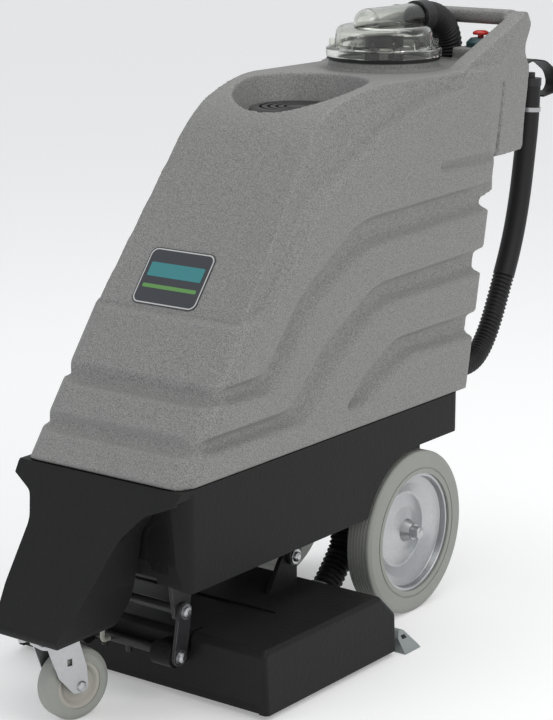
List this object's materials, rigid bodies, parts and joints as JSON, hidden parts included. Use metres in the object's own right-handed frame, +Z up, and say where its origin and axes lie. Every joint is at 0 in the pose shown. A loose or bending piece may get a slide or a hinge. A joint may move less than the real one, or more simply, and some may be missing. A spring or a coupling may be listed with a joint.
{
  "type": "carpet cleaner machine",
  "caption": "Walk-behind carpet extractor: waved grey tank on a black base, clear recovery dome, lifting brush deck, vacuum shoe, swivel caster and rear wheels.",
  "frame": {"origin": "middle of the machine's box, on the floor", "axes": "+Z up, -Y the way it faces (the caster end), +Y the operator's handle, +X the side with the drain hose"},
  "size_m": [0.482, 1.1902, 0.9135],
  "materials": {
    "tank_plastic": "rotomoulded grey, fine speckle",
    "black_housing": "textured black",
    "label": null,
    "black_plastic": "moulded",
    "mesh_steel": "perforated",
    "clear_dome": "clear moulding",
    "gasket_rubber": "matt",
    "float": "hollow ball",
    "hose_rubber": "ribbed hose",
    "clear_tube": "translucent tube",
    "inner_pipe": "plain pipe",
    "stop_red": "gloss red",
    "stop_base": "dark teal",
    "zinc": "zinc plated",
    "painted_steel": "black paint",
    "wheel_rubber": "grey rubber",
    "caster_hub": "beige grey",
    "brush_core": "moulded core",
    "bristle": "nylon tufts",
    "shoe_metal": "cast shoe"
  },
  "bodies": {
    "chassis": {"base_housing": "black_housing", "tank_shell": "tank_plastic", "tank_divider": "tank_plastic", "vacuum_standpipe": "inner_pipe", "recovery_pipe": "inner_pipe", "label_plate": "label", "dome_gasket": "gasket_rubber", "float_cage": "black_plastic", "stop_switch": "stop_base", "switch_panel": "black_plastic", "power_inlet": "black_plastic", "drain_spigot": "black_plastic", "drain_hose": "hose_rubber", "hose_clamp": "zinc", "hose_strap": "hose_rubber", "rear_axle": "zinc", "axle_caps": "zinc", "caster_plate": "zinc", "caster_bolts": "zinc", "front_crossmember": "painted_steel", "rear_crossmember": "painted_steel", "duct_collar": "black_plastic", "vacuum_motor": "painted_steel", "solution_pump": "black_plastic", "fill_strainer": "mesh_steel"},
    "wheel_left": {"tyre_left": "wheel_rubber", "wheel_disc_left": "zinc"},
    "wheel_right": {"tyre_right": "wheel_rubber", "wheel_disc_right": "zinc"},
    "caster_swivel": {"caster_fork": "zinc", "caster_axle": "zinc"},
    "caster_wheel": {"caster_tyre": "wheel_rubber", "caster_hub": "caster_hub"},
    "front_links": {"front_link_arms": "painted_steel", "lift_shaft": "painted_steel", "lift_shaft_bolts": "zinc"},
    "rear_links": {"rear_link_arms": "painted_steel"},
    "deck": {"brush_housing": "black_housing", "belt_cover": "black_housing", "lower_link_bolts": "zinc", "brush_motor": "painted_steel", "spray_bar": "black_plastic", "solution_tube": "clear_tube", "drive_belt": "hose_rubber"},
    "brush_roll": {"brush_core": "brush_core", "brush_bristles": "bristle"},
    "motor_rotor": {"motor_pulley": "zinc"},
    "shoe": {"vacuum_shoe": "shoe_metal", "shoe_hose": "hose_rubber"},
    "dome": {"dome_lid": "clear_dome", "hose_cuff": "black_plastic", "recovery_hose": "hose_rubber"},
    "float": {"float_ball": "float"},
    "filler_cap": {"fill_cap": "black_plastic"},
    "drain_cap": {"drain_plug": "black_plastic"},
    "stop": {"stop_button": "stop_red"},
    "rocker_brush": {"brush_switch": "black_plastic"},
    "rocker_vacuum": {"vacuum_switch": "black_plastic"},
    "rocker_pump": {"pump_switch": "black_plastic"},
    "fan_rotor": {"vacuum_fan": "black_plastic"}
  },
  "joints": [
    {"name": "right_wheel_roll", "type": "hinge", "parent": "chassis", "child": "wheel_right", "pos_m": [0.127, 0.1169, 0.127], "axis": [1, 0, 0], "continuous": true},
    {"name": "left_wheel_roll", "type": "hinge", "parent": "chassis", "child": "wheel_left", "pos_m": [-0.127, 0.1169, 0.127], "axis": [1, 0, 0], "continuous": true},
    {"name": "caster_swivel", "type": "hinge", "parent": "chassis", "child": "caster_swivel", "pos_m": [0, -0.5381, 0.1], "axis": [0, 0, 1], "continuous": true},
    {"name": "caster_roll", "type": "hinge", "parent": "caster_swivel", "child": "caster_wheel", "pos_m": [0.00677, -0.51093, 0.051], "axis": [0.9703, -0.2419, 0], "continuous": true},
    {"name": "deck_lift", "type": "hinge", "parent": "chassis", "child": "front_links", "pos_m": [0, -0.3861, 0.136], "axis": [-1, 0, 0], "range_deg": [0, 32]},
    {"name": "deck_level", "type": "hinge", "parent": "front_links", "child": "deck", "pos_m": [0, -0.3981, 0.0735], "axis": [-1, 0, 0], "range_deg": [-32, 0]},
    {"name": "rear_link_swing", "type": "hinge", "parent": "chassis", "child": "rear_links", "pos_m": [0, -0.1211, 0.2095], "axis": [-1, 0, 0], "range_deg": [0, 32]},
    {"name": "brush_spin", "type": "hinge", "parent": "deck", "child": "brush_roll", "pos_m": [0, -0.3111, 0.042], "axis": [1, 0, 0], "continuous": true},
    {"name": "motor_spin", "type": "hinge", "parent": "deck", "child": "motor_rotor", "pos_m": [0, -0.1511, 0.056], "axis": [1, 0, 0], "continuous": true},
    {"name": "shoe_float", "type": "slide", "parent": "chassis", "child": "shoe", "axis": [0, 0, 1], "range_m": [0, 0.015], "deforming": ["shoe_hose"]},
    {"name": "dome_lift_off", "type": "slide", "parent": "chassis", "child": "dome", "axis": [0, 0, 1], "range_m": [0, 0.04], "deforming": ["recovery_hose"]},
    {"name": "float_rise", "type": "slide", "parent": "chassis", "child": "float", "axis": [0, 0, 1], "range_m": [0, 0.028]},
    {"name": "filler_cap_lift_off", "type": "slide", "parent": "chassis", "child": "filler_cap", "axis": [0, 0, 1], "range_m": [0, 0.08]},
    {"name": "drain_cap_pull", "type": "slide", "parent": "chassis", "child": "drain_cap", "axis": [0, 0.02, 0.9998], "range_m": [0, 0.012]},
    {"name": "stop_press", "type": "slide", "parent": "chassis", "child": "stop", "axis": [0, 0, -1], "range_m": [0, 0.004], "stiffness_N_per_m": 800},
    {"name": "brush_rocker", "type": "hinge", "parent": "chassis", "child": "rocker_brush", "pos_m": [-0.046, 0.4169, 0.836], "axis": [1, 0, 0], "range_deg": [-8, 8]},
    {"name": "vacuum_rocker", "type": "hinge", "parent": "chassis", "child": "rocker_vacuum", "pos_m": [-0.066, 0.4169, 0.836], "axis": [1, 0, 0], "range_deg": [-8, 8]},
    {"name": "pump_rocker", "type": "hinge", "parent": "chassis", "child": "rocker_pump", "pos_m": [-0.086, 0.4169, 0.836], "axis": [1, 0, 0], "range_deg": [-8, 8]},
    {"name": "fan_spin", "type": "hinge", "parent": "chassis", "child": "fan_rotor", "pos_m": [-0.04, 0.0219, 0.25], "axis": [0, 0, 1], "continuous": true}
  ],
  "couplings": [
    {"joint": "deck_level", "follows": "deck_lift", "ratio": -1},
    {"joint": "rear_link_swing", "follows": "deck_lift", "ratio": 1},
    {"joint": "motor_spin", "follows": "brush_spin", "ratio": 1.5}
  ]
}
